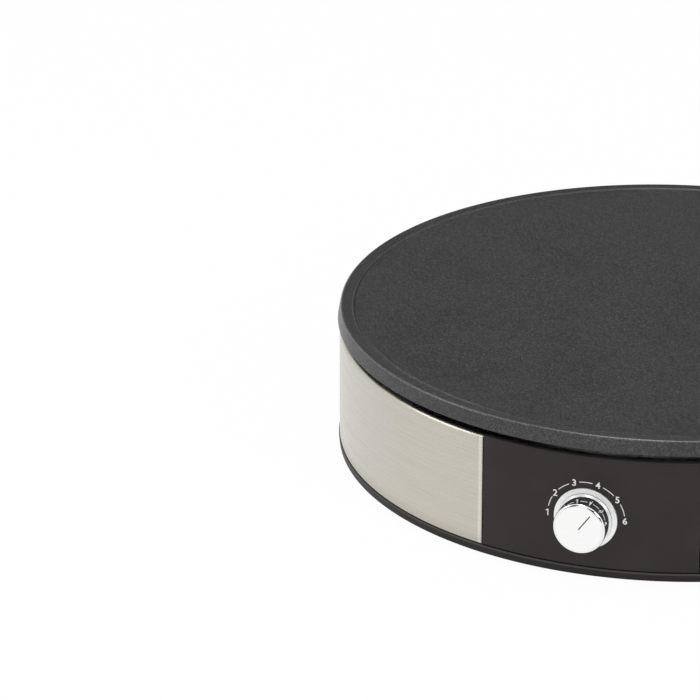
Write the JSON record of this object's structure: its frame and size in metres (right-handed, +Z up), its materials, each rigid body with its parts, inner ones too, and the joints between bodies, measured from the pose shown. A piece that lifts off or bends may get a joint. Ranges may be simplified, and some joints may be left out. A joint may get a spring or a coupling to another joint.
{
  "type": "electric crepe maker",
  "caption": "Round open electric crepe maker: drum body with brushed steel sides, coated hot plate with a low lip, and one front heat knob.",
  "frame": {"origin": "on the drum's axis, at the level that the feet stand on", "axes": "+Z up out of the cooking surface, -Y towards the user and the knob, +X to the right as the user sees it"},
  "size_m": [0.3342, 0.3476, 0.0751],
  "materials": {
    "coated_aluminium": "black non-stick coating with a fine speckle",
    "element_sheath": "dull, heat-tinted",
    "ceramic": "unglazed",
    "steel_screws": "zinc plated",
    "plated_sheet": "aluminised sheet",
    "black_moulding": "fine matte",
    "brushed_band": "brushed round the drum, bright turned edges",
    "rubber": "matte",
    "chrome": "polished sides, satin face",
    "dark_inlay": "matte line",
    "brass": "turned or stamped",
    "copper_tube": "drawn copper",
    "white_moulding": "matte",
    "wire_sleeve": "woven glass sleeve"
  },
  "bodies": {
    "appliance": {"hot_plate": "coated_aluminium", "heating_element": "element_sheath", "element_insulators": "ceramic", "element_pins": "steel_screws", "heat_shield": "plated_sheet", "carrier_ring": "plated_sheet", "insulating_washers": "ceramic", "plate_spacers": "steel_screws", "plate_screws": "steel_screws", "carrier_screws": "steel_screws", "housing_ring": "black_moulding", "side_band_left": "brushed_band", "side_band_right": "brushed_band", "control_panel": "black_moulding", "rear_cover": "black_moulding", "cord_gland": "rubber", "base_tray": "black_moulding", "base_screws": "steel_screws", "rubber_feet": "rubber", "bezel_ring": "chrome", "thermostat_bush": "brass", "thermostat_bracket": "plated_sheet", "bracket_screws": "steel_screws", "thermostat_body": "ceramic", "thermostat_tabs": "brass", "sensor_bulb": "copper_tube", "bulb_clip": "plated_sheet", "bulb_clip_screws": "steel_screws", "capillary_tube": "copper_tube", "terminal_block": "white_moulding", "terminal_screws": "brass", "thermal_fuse": "plated_sheet", "fuse_clip": "plated_sheet", "live_wire": "wire_sleeve", "heater_wire": "wire_sleeve", "fuse_lead": "wire_sleeve", "neutral_wire": "wire_sleeve", "earth_lug": "brass", "earth_screw": "steel_screws", "earth_wire": "wire_sleeve"},
    "knob": {"knob_shell": "chrome", "knob_pointer": "dark_inlay", "knob_core": "black_moulding", "thermostat_shaft": "steel_screws"}
  },
  "joints": [
    {"name": "heat_knob_turn", "type": "hinge", "parent": "appliance", "child": "knob", "pos_m": [0, -0.1662, 0.0322], "axis": [0, 1, 0], "range_deg": [-156, 54]}
  ]
}
